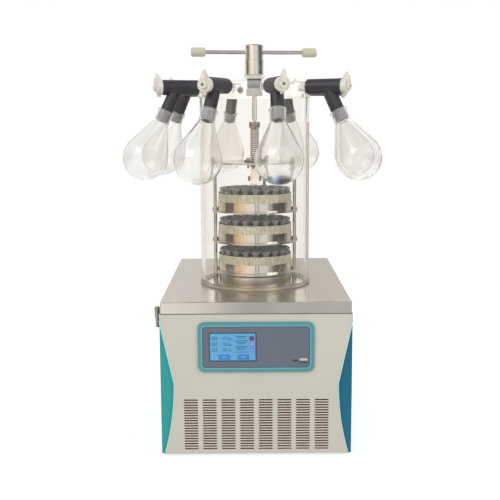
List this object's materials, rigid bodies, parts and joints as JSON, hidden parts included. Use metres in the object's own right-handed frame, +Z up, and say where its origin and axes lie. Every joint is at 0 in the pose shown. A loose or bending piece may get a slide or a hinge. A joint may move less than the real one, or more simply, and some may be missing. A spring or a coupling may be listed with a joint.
{
  "type": "freeze dryer",
  "caption": "Benchtop freeze dryer: clear jar over a cold trap, vial trays with a screw press, and a manifold of valves with hanging flasks.",
  "frame": {"origin": "on the bench, under the middle of the whole machine", "axes": "+Z up, the front faces -Y, +X to the right seen from the front"},
  "size_m": [0.625, 0.6947, 0.942],
  "materials": {
    "cream_paint": "satin",
    "left_trim": "satin",
    "right_trim": "satin",
    "zinc_sheet": "satin",
    "plate_steel": "brushed",
    "foot_rubber": "matte",
    "bezel_plastic": "satin",
    "fascia_plastic": "matte",
    "screen": "glossy",
    "port_plastic": "matte",
    "valve_metal": "satin",
    "black_plastic": "matte",
    "switch_plastic": "glossy",
    "trap_steel": "brushed",
    "copper": "satin",
    "black_paint": "satin",
    "fin_metal": "satin",
    "board": "matte",
    "seal_rubber": "matte",
    "clear_acrylic": "clear",
    "manifold_acrylic": "clear",
    "hub_steel": "brushed",
    "white_nylon": "matte",
    "grip_plastic": "satin",
    "nut_metal": "satin",
    "cream_plastic": "satin",
    "rack_steel": "polished",
    "tray_steel": "polished",
    "ring_metal": "satin",
    "vial_glass": "clear",
    "stopper_rubber": "matte",
    "valve_rubber": "matte",
    "flask_glass": "clear"
  },
  "bodies": {
    "cabinet": {"base_pan": "zinc_sheet", "front_panel": "cream_paint", "left_side_panel": "left_trim", "right_side_panel": "right_trim", "rear_panel": "cream_paint", "top_plate": "plate_steel", "feet": "foot_rubber", "display_bezel": "bezel_plastic", "control_panel": "fascia_plastic", "touch_screen": "screen", "usb_port": "port_plastic", "vent_valve_body": "valve_metal", "power_inlet": "black_plastic", "cold_trap": "trap_steel", "evaporator_coil": "copper", "compressor": "black_paint", "condenser": "fin_metal", "fan_shroud": "black_plastic", "control_board": "board", "seal_ring": "seal_rubber", "trap_collar": "trap_steel", "bell_jar": "clear_acrylic", "manifold": "manifold_acrylic", "lid": "clear_acrylic", "lid_gland": "hub_steel", "gland_washers": "white_nylon", "screw_nut": "nut_metal", "rack_top_plate": "rack_steel", "rack_rods": "rack_steel", "shelves": "rack_steel", "trays": "tray_steel", "vial_rings": "ring_metal", "vials": "vial_glass", "stoppers": "stopper_rubber", "valve_bodies": "valve_rubber", "flask_1": "flask_glass", "flask_2": "flask_glass", "flask_3": "flask_glass", "flask_4": "flask_glass", "flask_5": "flask_glass", "flask_6": "flask_glass", "flask_7": "flask_glass", "flask_8": "flask_glass"},
    "press_handle": {"handle_hub": "hub_steel", "handle_bar": "hub_steel", "handle_grips": "grip_plastic", "drive_shaft": "hub_steel"},
    "press_foot": {"press_foot": "cream_plastic"},
    "lead_screw": {"lead_screw": "hub_steel"},
    "vent_knob": {"vent_valve_knob": "valve_metal"},
    "rocker": {"power_switch": "switch_plastic"},
    "fan": {"fan_blades": "fin_metal"},
    "plug_1": {"valve_plug_1": "cream_plastic"},
    "plug_2": {"valve_plug_2": "cream_plastic"},
    "plug_3": {"valve_plug_3": "cream_plastic"},
    "plug_4": {"valve_plug_4": "cream_plastic"},
    "plug_5": {"valve_plug_5": "cream_plastic"},
    "plug_6": {"valve_plug_6": "cream_plastic"},
    "plug_7": {"valve_plug_7": "cream_plastic"},
    "plug_8": {"valve_plug_8": "cream_plastic"}
  },
  "joints": [
    {"name": "handle_turn", "type": "hinge", "parent": "cabinet", "child": "press_handle", "pos_m": [0, -0.026, 0.923], "axis": [0, 0, -1], "range_deg": [0, 432]},
    {"name": "press_slide", "type": "slide", "parent": "cabinet", "child": "press_foot", "axis": [0, 0, -1], "range_m": [0, 0.006]},
    {"name": "screw_turn", "type": "hinge", "parent": "press_foot", "child": "lead_screw", "pos_m": [0, -0.026, 0.7], "axis": [0, 0, -1], "range_deg": [0, 432]},
    {"name": "vent_knob_turn", "type": "hinge", "parent": "cabinet", "child": "vent_knob", "pos_m": [-0.226, -0.225, 0.331], "axis": [0, 0, 1], "range_deg": [0, 360]},
    {"name": "rocker_tilt", "type": "hinge", "parent": "cabinet", "child": "rocker", "pos_m": [-0.164, 0.325, 0.066], "axis": [1, 0, 0], "range_deg": [-12, 0]},
    {"name": "fan_spin", "type": "hinge", "parent": "cabinet", "child": "fan", "pos_m": [0, -0.201, 0.08], "axis": [0, 1, 0], "continuous": true},
    {"name": "valve_turn_1", "type": "hinge", "parent": "cabinet", "child": "plug_1", "pos_m": [0.06009, -0.25836, 0.839], "axis": [0.2504, -0.9681, 0], "range_deg": [0, 180]},
    {"name": "valve_turn_2", "type": "hinge", "parent": "cabinet", "child": "plug_2", "pos_m": [0.21288, -0.13682, 0.839], "axis": [0.887, -0.4617, 0], "range_deg": [0, 180]},
    {"name": "valve_turn_3", "type": "hinge", "parent": "cabinet", "child": "plug_3", "pos_m": [0.22889, 0.04617, 0.839], "axis": [0.9537, 0.3007, 0], "range_deg": [0, 180]},
    {"name": "valve_turn_4", "type": "hinge", "parent": "cabinet", "child": "plug_4", "pos_m": [0.11082, 0.18688, 0.839], "axis": [0.4617, 0.887, 0], "range_deg": [0, 180]},
    {"name": "valve_turn_5", "type": "hinge", "parent": "cabinet", "child": "plug_5", "pos_m": [-0.07217, 0.20289, 0.839], "axis": [-0.3007, 0.9537, 0], "range_deg": [0, 180]},
    {"name": "valve_turn_6", "type": "hinge", "parent": "cabinet", "child": "plug_6", "pos_m": [-0.21288, 0.08482, 0.839], "axis": [-0.887, 0.4617, 0], "range_deg": [0, 180]},
    {"name": "valve_turn_7", "type": "hinge", "parent": "cabinet", "child": "plug_7", "pos_m": [-0.22889, -0.09817, 0.839], "axis": [-0.9537, -0.3007, 0], "range_deg": [0, 180]},
    {"name": "valve_turn_8", "type": "hinge", "parent": "cabinet", "child": "plug_8", "pos_m": [-0.11082, -0.23888, 0.839], "axis": [-0.4617, -0.887, 0], "range_deg": [0, 180]}
  ],
  "couplings": [
    {"joint": "press_slide", "follows": "handle_turn", "m_per_rad": 0.00079577},
    {"joint": "screw_turn", "follows": "handle_turn", "ratio": 1}
  ]
}
